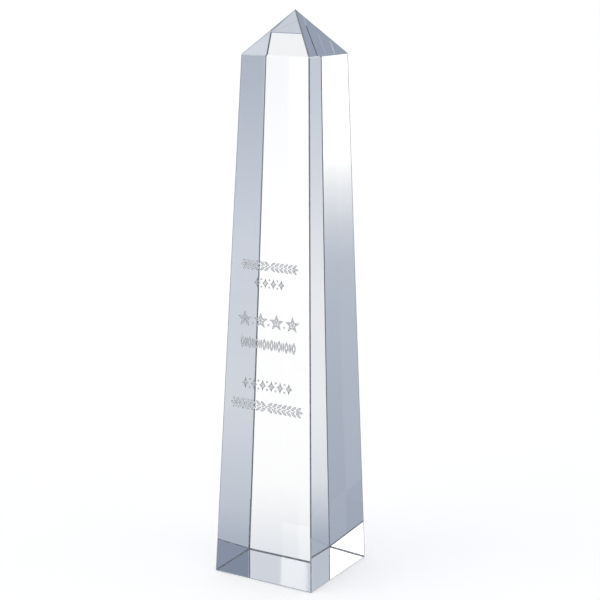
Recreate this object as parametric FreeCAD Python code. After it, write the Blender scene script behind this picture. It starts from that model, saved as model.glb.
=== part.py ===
"""A one-piece crystal award: a tapered square obelisk with a pyramid tip, and six etched rows in front.

Millimetres, +Z up. The origin is the centre of the base, and the etched face looks along -Y. The block is
one node. Each etched row is a node of its own: the thin blasted skin on the floors of the row's pockets.
"""

import FreeCAD, Part
import math
import os

from FreeCAD import Placement, Rotation, Vector

# Driving dimensions of the block, measured to its sharp corners.
BASE_WIDTH = 60.0
SHOULDER_WIDTH = 40.0
SHAFT_HEIGHT = 277.5
TIP_HEIGHT = 22.5
# Every edge is ground to a narrow polished flat, this wide across.
BEVEL_WIDTH = 0.6
# The blasted marks: how deep they go, and how thick the crazed white skin on their floors is.
ETCH_DEPTH = 0.5
SKIN_THICKNESS = 0.12

LEAN_DEG = math.degrees(math.atan((BASE_WIDTH - SHOULDER_WIDTH) / 2 / SHAFT_HEIGHT))
# The front face as a drawing plane: X across, Y up the slope from the foot of the face, Z out of the glass.
FRONT_FACE = Placement(Vector(0, -BASE_WIDTH / 2, 0), Rotation(Vector(1, 0, 0), 90 - LEAN_DEG))
# A cutter is longer than the block in every direction, so one box clears a whole edge.
CUTTER_SIZE = 2 * (SHAFT_HEIGHT + TIP_HEIGHT)
# How far a pocket's cutter stands out of the face that it cuts.
CUTTER_PROUD = 1.0
X_AXIS = Vector(1, 0, 0)
Z_AXIS = Vector(0, 0, 1)


# The block


def square(width, height):
    """A closed square outline, centred on the axis at one height."""
    half = width / 2
    corners = [(-half, -half), (half, -half), (half, half), (-half, half), (-half, -half)]
    return Part.makePolygon([Vector(x, y, height) for x, y in corners])


def sharp_block():
    """The tapered shaft and its pyramid, before the edges are ground."""
    shoulder = square(SHOULDER_WIDTH, SHAFT_HEIGHT)
    apex = Part.Vertex(0, 0, SHAFT_HEIGHT + TIP_HEIGHT)
    shaft = Part.makeLoft([square(BASE_WIDTH, 0), shoulder], True, True)
    tip = Part.makeLoft([shoulder, apex], True, True)
    return shaft.fuse(tip).removeSplitter().Solids[0]


def outward_normal(face, inside):
    """A flat face's unit normal, pointing away from a point inside the solid."""
    normal = face.normalAt(0, 0)
    if normal.dot(face.CenterOfMass - inside) < 0:
        normal = -normal
    return normal


def edge_cutter(edge, normals, flat_width):
    """A box whose floor cuts a flat of one width along an edge, leaning equally to both of its faces."""
    middle = (normals[0] + normals[1]).normalize()
    half_turn = normals[0].getAngle(normals[1]) / 2
    floor = edge.CenterOfMass - middle * (flat_width / 2 * math.tan(half_turn))
    corner = Vector(-CUTTER_SIZE / 2, -CUTTER_SIZE / 2, 0)
    box = Part.makeBox(CUTTER_SIZE, CUTTER_SIZE, CUTTER_SIZE, corner)
    box.Placement = Placement(floor, Rotation(Z_AXIS, middle))
    return box


def with_ground_edges(block, flat_width):
    """The block with a flat along each of its edges."""
    ground = block
    for edge in block.Edges:
        sides = block.ancestorsOfType(edge, Part.Face)
        normals = [outward_normal(face, block.CenterOfMass) for face in sides]
        ground = ground.cut(edge_cutter(edge, normals, flat_width))
    return ground.Solids[0]


# Single marks, each a flat face round the origin of the drawing plane


def star_outline(radius):
    """A five-pointed star with one point up."""
    points, waist = 5, 0.42
    corners = []
    for i in range(2 * points + 1):
        reach = radius * waist if i % 2 else radius
        angle = math.pi / 2 + i * math.pi / points
        corners.append(Vector(reach * math.cos(angle), reach * math.sin(angle), 0))
    return Part.Face(Part.makePolygon(corners))


def lozenge_outline(width, height):
    """An upright lozenge whose four sides curve inwards."""
    hollow = 0.36
    tips = [Vector(width / 2, 0), Vector(0, height / 2), Vector(-width / 2, 0), Vector(0, -height / 2)]
    sides = []
    for start, end in zip(tips, tips[1:] + tips[:1]):
        sides.append(Part.Arc(start, (start + end) * hollow, end).toShape())
    return Part.Face(Part.Wire(sides))


def leaf(length, width):
    """A pointed leaf lying along X, between two arcs."""
    stalk, point = Vector(-length / 2, 0), Vector(length / 2, 0)
    upper = Part.Arc(stalk, Vector(0, width / 2), point).toShape()
    lower = Part.Arc(point, Vector(0, -width / 2), stalk).toShape()
    return Part.Face(Part.Wire([upper, lower]))


def dot(radius):
    """A round dot."""
    return Part.Face(Part.Wire([Part.makeCircle(radius)]))


def ring_of(draw, outer, share):
    """An outline with a smaller copy of itself taken out of the middle. outer holds the outline's sizes."""
    inner = [size * share for size in outer]
    return draw(*outer).cut(draw(*inner)).Faces[0]


def placed(mark, x, y, turn_deg=0.0):
    """A mark turned about its own centre and set at a place on the drawing plane."""
    return mark.transformed(Placement(Vector(x, y, 0), Rotation(Z_AXIS, turn_deg)).toMatrix())


def mirrored_pair(mark, x, y, turn_deg=0.0):
    """A mark and its mirror image across the face's centre line."""
    return [placed(mark, x, y, turn_deg), placed(mark, -x, y, 180 - turn_deg)]


def spread(count, half_span):
    """Evenly spaced places from -half_span to half_span."""
    return [half_span * (2 * i / (count - 1) - 1) for i in range(count)]


# Rows of marks, each centred on the origin of the drawing plane


def garland(half_width, leaf_length, pairs):
    """Leaves that fan away in pairs from a berry in the middle, with a bud after each, to a last leaf."""
    splay_deg = 38
    leaf_width = leaf_length * 0.36
    big_leaf = leaf(leaf_length, leaf_width)
    bud = leaf(leaf_length * 0.42, leaf_width * 0.5)
    rise = leaf_length / 2 * math.sin(math.radians(splay_deg)) + leaf_width * 0.3
    last = half_width - leaf_length / 2
    step = last / pairs
    marks = [dot(leaf_width * 0.36)] + mirrored_pair(big_leaf, last, 0)
    for i in range(pairs):
        x = step * (i + 0.72)
        marks += mirrored_pair(big_leaf, x, rise, splay_deg)
        marks += mirrored_pair(big_leaf, x, -rise, -splay_deg)
        if i < pairs - 1:
            marks += mirrored_pair(bud, x + step * 0.1, 0)
    return marks


def star_row(half_width, radius, count):
    """Open stars, each with a small star inside, and a dot low in each gap."""
    open_star = ring_of(star_outline, [radius], 0.5)
    small_star = star_outline(radius * 0.26)
    star_half_width = radius * math.cos(math.radians(18))
    places = spread(count, half_width - star_half_width)
    gaps = [(a + b) / 2 for a, b in zip(places, places[1:])]
    marks = [placed(open_star, x, 0) for x in places] + [placed(small_star, x, 0) for x in places]
    return marks + [placed(dot(radius * 0.12), x, -radius * 0.4) for x in gaps]


def lozenge_row(half_width, width, height, count):
    """Open lozenges with a dot in each and in each gap."""
    open_lozenge = ring_of(lozenge_outline, [width, height], 0.5)
    places = spread(count, half_width - width / 2)
    gaps = [(a + b) / 2 for a, b in zip(places, places[1:])]
    marks = [placed(open_lozenge, x, 0) for x in places] + [placed(dot(width * 0.09), x, 0) for x in places]
    return marks + [placed(dot(width * 0.13), x, y) for x in gaps for y in (-height / 3, height / 3)]


def bead_and_reel_row(half_width, height, count):
    """Upright open beads, each pair parted by two thin reels."""
    bead_width = half_width / count
    bead = ring_of(leaf, [height, bead_width], 0.48)
    reel = leaf(height * 0.82, bead_width * 0.34)
    places = spread(count, half_width - bead_width / 2)
    gaps = [(a + b) / 2 for a, b in zip(places, places[1:])]
    marks = [placed(bead, x, 0, 90) for x in places]
    return marks + [placed(reel, x + side * bead_width * 0.24, 0, 90) for x in gaps for side in (-1, 1)]


def etched_rows():
    """Each etched row: its node, the height of its middle above the base, and its marks."""
    return [
        ("etched_garland_upper", 170.3, garland(half_width=17.2, leaf_length=3.4, pairs=6)),
        ("etched_lozenges_small", 161.4, lozenge_row(half_width=9.0, width=3.6, height=5.8, count=4)),
        ("etched_stars", 141.4, star_row(half_width=18.4, radius=4.3, count=4)),
        ("etched_bead_and_reel", 129.2, bead_and_reel_row(half_width=16.6, height=6.2, count=8)),
        ("etched_lozenges_large", 107.4, lozenge_row(half_width=15.2, width=4.0, height=6.4, count=6)),
        ("etched_garland_lower", 96.0, garland(half_width=22.0, leaf_length=3.8, pairs=7)),
    ]


def raised(marks, middle_height, floor, thickness):
    """The marks as solids in the front face, from a floor below it. The row's middle is at one height."""
    up_the_face = middle_height / math.cos(math.radians(LEAN_DEG))
    solids = []
    for mark in marks:
        on_floor = mark.translated(Vector(0, up_the_face, floor))
        solids.append(on_floor.extrude(Z_AXIS * thickness).transformed(FRONT_FACE.toMatrix()))
    return solids


def main():
    os.makedirs("parts", exist_ok=True)
    pockets = []
    for node, middle_height, marks in etched_rows():
        pockets += raised(marks, middle_height, -ETCH_DEPTH, ETCH_DEPTH + CUTTER_PROUD)
        skin = Part.Compound(raised(marks, middle_height, -ETCH_DEPTH, SKIN_THICKNESS))
        skin.exportStep(f"parts/{node}.step")
        print(node, len(marks), "marks", round(skin.BoundBox.XLength, 2), round(skin.BoundBox.ZLength, 2))
    crystal = with_ground_edges(sharp_block(), BEVEL_WIDTH).cut(pockets).Solids[0]
    crystal.exportStep("parts/crystal_obelisk.step")
    print("crystal_obelisk", crystal.isValid(), len(crystal.Faces), "faces", round(crystal.Volume), "mm3")


main()
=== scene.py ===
"""The looks of the crystal award: optical crystal, frosted etching, a white studio and the camera."""

import math

import bmesh
import bpy
from mathutils import Matrix, Vector


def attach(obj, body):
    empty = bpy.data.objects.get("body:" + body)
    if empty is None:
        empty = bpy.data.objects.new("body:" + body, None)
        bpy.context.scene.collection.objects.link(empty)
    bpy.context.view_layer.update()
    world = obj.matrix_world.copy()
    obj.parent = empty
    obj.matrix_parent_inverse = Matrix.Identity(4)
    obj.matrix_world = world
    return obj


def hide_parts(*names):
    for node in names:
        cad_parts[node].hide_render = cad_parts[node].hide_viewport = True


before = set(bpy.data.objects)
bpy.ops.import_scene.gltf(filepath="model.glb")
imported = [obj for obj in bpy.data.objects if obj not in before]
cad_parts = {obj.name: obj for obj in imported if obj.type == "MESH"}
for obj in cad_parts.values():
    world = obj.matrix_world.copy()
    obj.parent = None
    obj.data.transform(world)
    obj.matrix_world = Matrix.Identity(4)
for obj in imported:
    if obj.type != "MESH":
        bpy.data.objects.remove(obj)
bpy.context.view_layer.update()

CRYSTAL_NODE = "crystal_obelisk"
ETCHED_NODES = [name for name in sorted(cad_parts) if name.startswith("etched_")]
# The crystal: optical crown glass (K9).
CRYSTAL_IOR = 1.5168
# Corners closer than this are one corner, and faces that turn less than this are one face.
WELD_DISTANCE = 0.000005
FLAT_ANGLE = math.radians(0.5)

BASE_WIDTH = 0.060
SHOULDER_WIDTH = 0.040
SHAFT_HEIGHT = 0.2775
# The front face leans back by this angle.
FRONT_LEAN = math.atan((BASE_WIDTH - SHOULDER_WIDTH) / 2 / SHAFT_HEIGHT)

# A face narrower than this is one of the flats ground along the edges.
GROUND_FLAT_LIMIT = 0.001
# The flats have a matt skin, dark with painted reflection. It stands this proud of the glass and laps this
# far over the faces beside it.
EDGE_PROUD = 0.00001
EDGE_LAP = 0.00014
EDGE_SKIN_THICKNESS = 0.00003
# The skin is cut at the first height. The flats round the shoulder, between the other two, have none.
FOOT_HEIGHT = 0.03
SHAFT_TOP = SHAFT_HEIGHT - 0.0005
RIDGE_START = SHAFT_HEIGHT + 0.0015
# The rim is a wider band of painted dark reflection along the back right edge, which is further than
# RIM_START from both middle planes.
RIM_START = 0.015
RIM_LAP = 0.00045
RIM_PROUD = 0.00002
# Light that has met more surfaces than this passes the edges by, so that they make no web in the tip.
EDGE_RAY_DEPTH = 2.5

# The frame's frosted skins lie this deep in pockets. Here they come forward to just proud of the face.
SKIN_DEPTH = 0.00038
MARK_PROUD = 0.00008
# Each mark has a sloping wall all round, this wide and this deep, and a floor inside it.
WALL_WIDTH = 0.00016
WALL_DROP = 0.00006
# A skin's face is its front when it faces outwards at least this squarely.
FRONT_SQUARENESS = 0.99
# The skins have finer corners than the block.
SKIN_WELD_DISTANCE = WELD_DISTANCE / 5

# The camera: where it stands, how it is turned, and its lens on a 36 mm sensor.
CAMERA_PLACE = Vector((0.4200, -0.7127, 0.3339))
CAMERA_TURN_DEG = 30.26
CAMERA_TILT_DEG = 12.64
CAMERA_ROLL_DEG = 0.49
CAMERA_LENS_MM = 96.155
SENSOR_MM = 36.0
CLIP_START = 0.01

FLOOR_SIZE = 12.0
# The floor lies this far under the crystal, so that the two never coincide.
FLOOR_GAP = 0.0002
FLOOR_COLOUR = (0.97, 0.95, 0.92, 1.0)
FLOOR_ROUGHNESS = 0.9
# The floor glows a little, so that it is as white as the world behind it.
FLOOR_GLOW = 0.33
WHITE = (1.0, 1.0, 1.0, 1.0)

# Light turns this many times inside the crystal before it is dropped.
BOUNCES = 40

# The studio round the award, as brightness by direction. Azimuth 0 is +Y and 90 is +X, and white is 1.
# Each sector has its name, its first and last azimuth, the softness of its sides, and its stops. A stop is
# an elevation and the brightness there. A later sector covers an earlier one. RAMP_PEAK tops them all.
RAMP_PEAK = 4.0
STUDIO_BASE = [(-90, 0.65), (-60, 0.65), (-35, 0.6), (-10, 0.85), (15, 0.9), (35, 0.6), (90, 0.85)]
STUDIO = [
    ("backdrop", -100.0, -29.9, 0.2,
     [(-90, 0.7), (-60, 0.7), (-36, 0.92), (-31, 0.93), (-24.5, 0.78), (-22, 1.0), (-14, 1.0), (-7, 0.86),
      (10, 0.86), (22, 0.67), (50, 0.6), (90, 0.85)]),
    ("backdrop_seam", -30.9, -29.9, 0.25,
     [(-90, 0.7), (-60, 0.7), (-36, 0.92), (-31, 0.93), (-24.5, 0.86), (-22, 1.0), (-14, 1.0), (-7, 0.9),
      (10, 0.86), (22, 0.78), (50, 0.6), (90, 0.85)]),
    ("backdrop_edge", -29.9, -18.0, 0.2,
     [(-90, 0.65), (-36, 0.4), (-24.4, 0.4), (-23.6, 0.6), (-22.5, 0.8), (-20, 0.92), (-16, 0.92),
      (-13, 0.82), (-8, 0.63), (5, 0.55), (22, 0.52), (90, 0.8)]),
    ("clear_middle", -18.0, 16.0, 8.0,
     [(-90, 0.65), (-35, 0.6), (-12, 0.95), (12, 0.95), (27, 0.45), (42, 0.5), (90, 0.8)]),
    ("right_wing", 18.0, 48.0, 6.0,
     [(-90, 0.6), (-34, 0.7), (-28, 0.42), (-26.2, 0.43), (-24.8, 0.55), (-21, 0.64), (-17.5, 0.61),
      (-14, 0.5), (-9, 0.34), (5, 0.25), (20, 0.225), (35, 0.35), (60, 0.6), (90, 0.8)]),
    ("right_side", 60.0, 105.0, 20.0,
     [(-90, 0.65), (-35, 0.7), (-10, 1.0), (10, 1.0), (40, 0.7), (90, 0.9)]),
    ("front_right", 110.0, 170.0, 12.0,
     [(-90, 0.6), (-35, 0.4), (-20, 0.34), (-16, 0.6), (-12, 0.85), (2, 0.8), (12, 0.5), (30, 0.5),
      (90, 0.8)]),
    ("soft_box", -170.0, -120.0, 5.0,
     [(-90, 0.65), (-60, 0.6), (-30, 0.34), (-25, 0.42), (-20, 0.5), (-18.3, 0.55), (-17, 0.66),
      (-16.2, 0.8), (-15, 1.0), (-14.4, 1.25), (-13.8, 1.4), (-9.5, 1.4), (-7, 3.0), (16.6, 3.0),
      (17.8, 1.45), (26, 1.4), (30, 0.9), (90, 0.9)]),
]
# Light that has met more surfaces than this sees one even grey, so that the tip shows no fine streaks.
DEEP_RAY_DEPTH = 7.5
DEEP_BRIGHTNESS = 0.33
# Darker parts of the studio are bluer: red and blue are the brightness times a power of itself. Anything
# darker than DARKEST_TINT is tinted like it.
RED_POWER = 0.13
BLUE_POWER = -0.21
DARKEST_TINT = 0.1

# Most of a noise texture lies between these.
NOISE_LOW = 0.3
NOISE_HIGH = 0.7
# Each noise is its size, in features for each metre, and its detail.
POLISHING = (60.0, 2.0)
GRINDING_MOTTLE = (700.0, 3.0)
GRINDING_MATT = (900.0, 3.0)
FROST_SPECKLE = (5000.0, 4.0)
FROST_MATT = (2500.0, 2.0)
FROST_GRAIN = (6000.0, 3.0)
# How rough each surface is, from and to.
CRYSTAL_ROUGHNESS = (0.0, 0.02)
EDGE_ROUGHNESS = (0.45, 0.65)
FROST_ROUGHNESS = (0.65, 0.9)
FROST_CLEARNESS = 0.35
GRAIN_HEIGHT = 0.00004
# The darkest and lightest tone of each matt surface. The edge skins' tones are painted dark reflection,
# lighter on the foot than on the shaft and the tip.
FOOT_PAINTED_REFLECTION_TONES = (0.26, 0.28, 0.31), (0.4, 0.42, 0.46)
SHAFT_PAINTED_REFLECTION_TONES = (0.12, 0.13, 0.15), (0.23, 0.245, 0.27)
TIP_PAINTED_REFLECTION_TONES = (0.2, 0.215, 0.24), (0.32, 0.34, 0.37)
FROST_FLOOR_TONES = (0.72, 0.73, 0.75), (0.9, 0.91, 0.93)
# The frost walls' tones are painted shade, much darker than the frost floor's own colour.
FROST_WALL_PAINTED_SHADE_TONES = (0.1, 0.105, 0.115), (0.2, 0.205, 0.215)


def new_material(name):
    """A new material: the material, its node tree, and the Principled shader on its output."""
    material = bpy.data.materials.new(name)
    material.use_nodes = True
    tree = material.node_tree
    tree.nodes.clear()
    output = tree.nodes.new("ShaderNodeOutputMaterial")
    shader = tree.nodes.new("ShaderNodeBsdfPrincipled")
    tree.links.new(shader.outputs["BSDF"], output.inputs["Surface"])
    return material, tree, shader


def add_camera():
    camera = bpy.data.objects.new("camera", bpy.data.cameras.new("camera"))
    bpy.context.scene.collection.objects.link(camera)
    turn = Matrix.Rotation(math.radians(CAMERA_TURN_DEG), 4, "Z")
    tilt = Matrix.Rotation(math.radians(90 - CAMERA_TILT_DEG), 4, "X")
    roll = Matrix.Rotation(math.radians(CAMERA_ROLL_DEG), 4, "Z")
    camera.matrix_world = Matrix.Translation(CAMERA_PLACE) @ turn @ tilt @ roll
    camera.data.sensor_width = SENSOR_MM
    camera.data.lens = CAMERA_LENS_MM
    camera.data.clip_start = CLIP_START
    bpy.context.scene.camera = camera


class Math:
    """Small helpers that add Math nodes to one node tree."""

    def __init__(self, tree):
        self.nodes = tree.nodes
        self.links = tree.links

    def run(self, operation, *values):
        node = self.nodes.new("ShaderNodeMath")
        node.operation = operation
        for socket, value in zip(node.inputs, values):
            if isinstance(value, (int, float)):
                socket.default_value = value
            else:
                self.links.new(value, socket)
        return node.outputs[0]

    def step(self, value, start, end):
        """Rises smoothly from 0 at start to 1 at end. start may be above end."""
        node = self.nodes.new("ShaderNodeMapRange")
        node.interpolation_type = "SMOOTHSTEP"
        low, high = min(start, end), max(start, end)
        self.links.new(value, node.inputs["Value"])
        node.inputs["From Min"].default_value = low
        node.inputs["From Max"].default_value = high
        node.inputs["To Min"].default_value = 0.0 if start < end else 1.0
        node.inputs["To Max"].default_value = 1.0 if start < end else 0.0
        return node.outputs["Result"]

    def mix(self, share, a, b):
        """a where share is 0, b where it is 1."""
        return self.run("ADD", self.run("MULTIPLY", self.run("SUBTRACT", 1.0, share), a),
                        self.run("MULTIPLY", share, b))


def elevation_ramp(tree, elevation, stops):
    """Brightness against elevation, from (degrees, brightness) stops."""
    math_nodes = Math(tree)
    ramp = tree.nodes.new("ShaderNodeValToRGB")
    ramp.color_ramp.interpolation = "LINEAR"
    elements = ramp.color_ramp.elements
    while len(elements) < len(stops):
        elements.new(0.5)
    for element, (degrees, brightness) in zip(elements, stops):
        element.position = (degrees + 90) / 180
        share = brightness / RAMP_PEAK
        element.color = (share, share, share, 1.0)
    position = math_nodes.run("DIVIDE", math_nodes.run("ADD", elevation, 90.0), 180.0)
    tree.links.new(position, ramp.inputs["Fac"])
    return math_nodes.run("MULTIPLY", ramp.outputs["Color"], RAMP_PEAK)


def add_studio():
    """The world: plain white to the camera, and the studio's sectors to everything else."""
    world = bpy.data.worlds.new("studio")
    bpy.context.scene.world = world
    world.use_nodes = True
    tree = world.node_tree
    tree.nodes.clear()
    math_nodes = Math(tree)
    direction = tree.nodes.new("ShaderNodeTexCoord").outputs["Generated"]
    parts = tree.nodes.new("ShaderNodeSeparateXYZ")
    tree.links.new(direction, parts.inputs[0])
    x, y, z = parts.outputs
    azimuth = math_nodes.run("DEGREES", math_nodes.run("ARCTAN2", x, y))
    elevation = math_nodes.run("DEGREES", math_nodes.run("ARCSINE", z))
    brightness = elevation_ramp(tree, elevation, STUDIO_BASE)
    for _, start, end, soft, stops in STUDIO:
        centre, half = (start + end) / 2, (end - start) / 2
        turn = math_nodes.run("WRAP", math_nodes.run("SUBTRACT", azimuth, centre), 180.0, -180.0)
        off = math_nodes.run("ABSOLUTE", turn)
        share = math_nodes.step(off, half + soft / 2, half - soft / 2)
        brightness = math_nodes.mix(share, brightness, elevation_ramp(tree, elevation, stops))
    light_path = tree.nodes.new("ShaderNodeLightPath")
    deep = math_nodes.run("GREATER_THAN", light_path.outputs["Ray Depth"], DEEP_RAY_DEPTH)
    brightness = math_nodes.mix(deep, brightness, DEEP_BRIGHTNESS)
    tone = math_nodes.run("MAXIMUM", math_nodes.run("MINIMUM", brightness, 1.0), DARKEST_TINT)
    colour = tree.nodes.new("ShaderNodeCombineColor")
    red = math_nodes.run("MULTIPLY", brightness, math_nodes.run("POWER", tone, RED_POWER))
    blue = math_nodes.run("MULTIPLY", brightness, math_nodes.run("POWER", tone, BLUE_POWER))
    tree.links.new(red, colour.inputs["Red"])
    tree.links.new(brightness, colour.inputs["Green"])
    tree.links.new(blue, colour.inputs["Blue"])
    studio = tree.nodes.new("ShaderNodeBackground")
    tree.links.new(colour.outputs[0], studio.inputs["Color"])
    plain = tree.nodes.new("ShaderNodeBackground")
    plain.inputs["Color"].default_value = WHITE
    chooser = tree.nodes.new("ShaderNodeMixShader")
    tree.links.new(light_path.outputs["Is Camera Ray"], chooser.inputs["Fac"])
    tree.links.new(studio.outputs[0], chooser.inputs[1])
    tree.links.new(plain.outputs[0], chooser.inputs[2])
    output = tree.nodes.new("ShaderNodeOutputWorld")
    tree.links.new(chooser.outputs[0], output.inputs["Surface"])


def add_floor():
    """A plain pale floor. Light inside the crystal passes it by and sees the studio below it instead."""
    half = FLOOR_SIZE / 2
    mesh = bpy.data.meshes.new("floor")
    corners = [(-half, -half, 0), (half, -half, 0), (half, half, 0), (-half, half, 0)]
    mesh.from_pydata(corners, [], [(0, 1, 2, 3)])
    floor = bpy.data.objects.new("floor", mesh)
    bpy.context.scene.collection.objects.link(floor)
    floor.location.z = -FLOOR_GAP
    floor.visible_transmission = False
    floor.visible_glossy = False
    material, _, shader = new_material("floor_white")
    shader.inputs["Base Color"].default_value = FLOOR_COLOUR
    shader.inputs["Roughness"].default_value = FLOOR_ROUGHNESS
    shader.inputs["Specular IOR Level"].default_value = 0.0
    shader.inputs["Emission Color"].default_value = WHITE
    shader.inputs["Emission Strength"].default_value = FLOOR_GLOW
    floor.data.materials.append(material)


def noise_between(tree, noise_kind, low, high):
    """Noise over the object, from low to high."""
    place = tree.nodes.new("ShaderNodeTexCoord").outputs["Object"]
    noise = tree.nodes.new("ShaderNodeTexNoise")
    noise.inputs["Scale"].default_value, noise.inputs["Detail"].default_value = noise_kind
    spread = tree.nodes.new("ShaderNodeMapRange")
    spread.inputs["From Min"].default_value = NOISE_LOW
    spread.inputs["From Max"].default_value = NOISE_HIGH
    spread.inputs["To Min"].default_value = low
    spread.inputs["To Max"].default_value = high
    tree.links.new(place, noise.inputs["Vector"])
    tree.links.new(noise.outputs["Fac"], spread.inputs["Value"])
    return spread.outputs["Result"]


def add_grain(tree, shader):
    """A fine bump all over."""
    bump = tree.nodes.new("ShaderNodeBump")
    bump.inputs["Distance"].default_value = GRAIN_HEIGHT
    tree.links.new(noise_between(tree, FROST_GRAIN, 0.0, 1.0), bump.inputs["Height"])
    tree.links.new(bump.outputs["Normal"], shader.inputs["Normal"])


def mixed_colour(tree, share, dark, light):
    """A colour between two others, by a share from 0 to 1."""
    ramp = tree.nodes.new("ShaderNodeValToRGB")
    ramp.color_ramp.elements[0].color = (*dark, 1.0)
    ramp.color_ramp.elements[1].color = (*light, 1.0)
    tree.links.new(share, ramp.inputs["Fac"])
    return ramp.outputs["Color"]


def crystal_material():
    """Polished optical crystal, with the faint unevenness that polishing leaves."""
    material, tree, shader = new_material("clear_crystal")
    shader.inputs["Base Color"].default_value = WHITE
    shader.inputs["Transmission Weight"].default_value = 1.0
    shader.inputs["IOR"].default_value = CRYSTAL_IOR
    tree.links.new(noise_between(tree, POLISHING, *CRYSTAL_ROUGHNESS), shader.inputs["Roughness"])
    return material


def painted_reflection_edge_material(name, dark, light):
    """The flats ground along the edges: matt, mottled by the grinding, and dark with painted reflection."""
    material, tree, shader = new_material(name)
    mottle = noise_between(tree, GRINDING_MOTTLE, 0.0, 1.0)
    tree.links.new(mixed_colour(tree, mottle, dark, light), shader.inputs["Base Color"])
    tree.links.new(noise_between(tree, GRINDING_MATT, *EDGE_ROUGHNESS), shader.inputs["Roughness"])
    shader.inputs["IOR"].default_value = CRYSTAL_IOR
    ray_depth = tree.nodes.new("ShaderNodeLightPath").outputs["Ray Depth"]
    tree.links.new(Math(tree).run("LESS_THAN", ray_depth, EDGE_RAY_DEPTH), shader.inputs["Alpha"])
    return material


def add_piece(name, shape, slot, replaced, *materials):
    """An object from a finished bmesh, riding with the block. The slot argument is not used."""
    mesh = bpy.data.meshes.new(name)
    shape.to_mesh(mesh)
    shape.free()
    for material in materials:
        mesh.materials.append(material)
    piece = bpy.data.objects.new(name, mesh)
    bpy.context.scene.collection.objects.link(piece)
    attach(piece, "root")
    for node in replaced:
        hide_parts(node)
    return piece


def whole_block():
    """The block with its etched front made whole again, as the mirror image of the plain back."""
    block = bmesh.new()
    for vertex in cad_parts[CRYSTAL_NODE].data.vertices:
        x, y, z = vertex.co
        if y >= 0:
            block.verts.new((x, y, z))
            block.verts.new((x, -y, z))
    bmesh.ops.remove_doubles(block, verts=block.verts, dist=WELD_DISTANCE)
    bmesh.ops.convex_hull(block, input=block.verts)
    bmesh.ops.dissolve_limit(block, angle_limit=FLAT_ANGLE, verts=block.verts, edges=block.edges)
    bmesh.ops.recalc_face_normals(block, faces=block.faces)
    return block


def add_crystal():
    add_piece("crystal_block", whole_block(), "clear_crystal", [CRYSTAL_NODE], crystal_material())


def is_broad(face):
    """True for the faces of the block, false for the flats ground along its edges."""
    return 2 * face.calc_area() / face.calc_perimeter() > GROUND_FLAT_LIMIT


def edge_skin(wanted, lap, proud):
    """A thin closed skin over the ground flats where it is wanted, lapping over the faces on both sides."""
    skin = whole_block()
    broad = [face for face in skin.faces if is_broad(face)]
    bmesh.ops.inset_individual(skin, faces=broad, thickness=lap, use_even_offset=True)
    bmesh.ops.delete(skin, geom=broad, context="FACES")
    bmesh.ops.bisect_plane(skin, geom=skin.verts[:] + skin.edges[:] + skin.faces[:],
                           plane_co=(0, 0, FOOT_HEIGHT), plane_no=(0, 0, 1))
    unwanted = [face for face in skin.faces if not wanted(face.calc_center_median())]
    bmesh.ops.delete(skin, geom=unwanted, context="FACES")
    skin.normal_update()
    for vertex in skin.verts:
        vertex.co += vertex.normal * proud
    bmesh.ops.solidify(skin, geom=skin.faces, thickness=EDGE_SKIN_THICKNESS)
    return skin


def on_foot(centre):
    """This and the three functions below say which faces a skin takes, by their middle points."""
    return centre.z < FOOT_HEIGHT


def on_shaft(centre):
    return FOOT_HEIGHT < centre.z < SHAFT_TOP


def on_tip(centre):
    return centre.z > RIDGE_START


def on_back_rim(centre):
    return min(centre.x, centre.y) > RIM_START and centre.z < SHAFT_TOP


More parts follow.
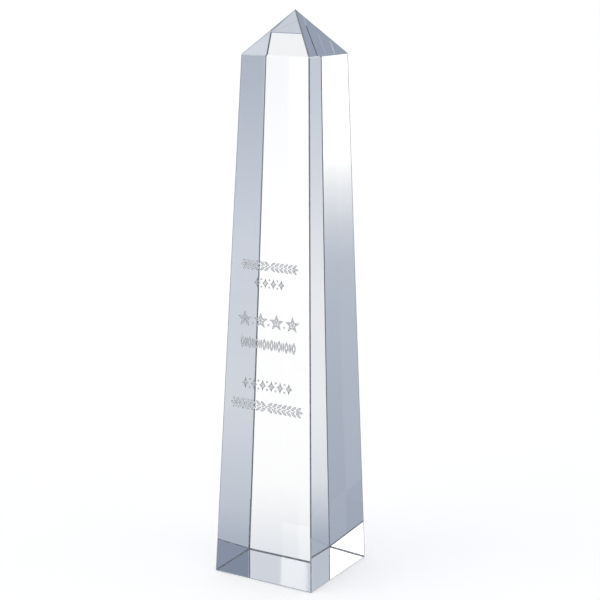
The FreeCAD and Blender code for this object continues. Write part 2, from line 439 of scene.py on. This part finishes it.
def add_painted_reflection_edges():
    """Dark skins of painted reflection over the ground flats. Only the foot's skin shows in reflections. The
    tip's and the rim's don't show through the glass.
    """
    # The three edge colours are painted dark reflection, lighter on the foot than on the shaft and the tip.
    foot_painted_reflection = painted_reflection_edge_material("painted_reflection_edge_foot", *FOOT_PAINTED_REFLECTION_TONES)
    shaft_painted_reflection = painted_reflection_edge_material("painted_reflection_edge_shaft", *SHAFT_PAINTED_REFLECTION_TONES)
    tip_painted_reflection = painted_reflection_edge_material("painted_reflection_edge_tip", *TIP_PAINTED_REFLECTION_TONES)
    foot = edge_skin(on_foot, EDGE_LAP, EDGE_PROUD)
    add_piece("painted_reflection_edges_foot", foot, "clear_crystal", [], foot_painted_reflection)
    shaft = edge_skin(on_shaft, EDGE_LAP, EDGE_PROUD)
    add_piece("painted_reflection_edges_shaft", shaft, "clear_crystal", [], shaft_painted_reflection).visible_glossy = False
    tip = edge_skin(on_tip, EDGE_LAP, EDGE_PROUD)
    rim = edge_skin(on_back_rim, RIM_LAP, RIM_PROUD)
    # The rim takes the shaft's painted dark reflection.
    for name, skin, matt in (("painted_reflection_edges_tip", tip, tip_painted_reflection), ("painted_reflection_rim", rim, shaft_painted_reflection)):
        piece = add_piece(name, skin, "clear_crystal", [], matt)
        piece.visible_glossy = False
        piece.visible_transmission = False


def frost_material(name, dark, light):
    """Sandblasted glass: matt, speckled between two tones, letting some light through."""
    material, tree, shader = new_material(name)
    speckle = noise_between(tree, FROST_SPECKLE, 0.0, 1.0)
    tree.links.new(mixed_colour(tree, speckle, dark, light), shader.inputs["Base Color"])
    tree.links.new(noise_between(tree, FROST_MATT, *FROST_ROUGHNESS), shader.inputs["Roughness"])
    shader.inputs["Transmission Weight"].default_value = FROST_CLEARNESS
    shader.inputs["IOR"].default_value = CRYSTAL_IOR
    add_grain(tree, shader)
    return material


def add_frost(node, floor_frost, painted_shade_wall_frost):
    """One etched row, brought to the face: each mark a frosted floor inside a sloping wall darkened with
    painted shade.
    """
    inwards = Vector((0, math.cos(FRONT_LEAN), -math.sin(FRONT_LEAN)))
    row = bmesh.new()
    row.from_mesh(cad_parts[node].data)
    bmesh.ops.remove_doubles(row, verts=row.verts, dist=SKIN_WELD_DISTANCE)
    bmesh.ops.translate(row, verts=row.verts, vec=-inwards * (SKIN_DEPTH + MARK_PROUD))
    row.normal_update()
    fronts = [face for face in row.faces if face.normal.dot(inwards) < -FRONT_SQUARENESS]
    walls = bmesh.ops.inset_region(row, faces=fronts, thickness=WALL_WIDTH, depth=-WALL_DROP,
                                   use_even_offset=True, use_boundary=True)
    # The walls take the second material, dark with painted shade.
    for face in walls["faces"]:
        face.material_index = 1
    piece = add_piece("frost_" + node, row, "frosted_etching", [node], floor_frost, painted_shade_wall_frost)
    # Reflected light passes the frost by, so that a row isn't repeated all over the block.
    piece.visible_glossy = False


add_camera()
add_studio()
add_floor()
add_crystal()
add_painted_reflection_edges()
floor_frost = frost_material("frosted_floor", *FROST_FLOOR_TONES)
# The walls' dark tones are painted shade.
painted_shade_wall_frost = frost_material("frosted_wall_painted_shade", *FROST_WALL_PAINTED_SHADE_TONES)
for node in ETCHED_NODES:
    add_frost(node, floor_frost, painted_shade_wall_frost)

scene = bpy.context.scene
scene.view_settings.view_transform = "Standard"
scene.cycles.max_bounces = BOUNCES
scene.cycles.transmission_bounces = BOUNCES
scene.cycles.glossy_bounces = BOUNCES
scene.cycles.use_denoising = True
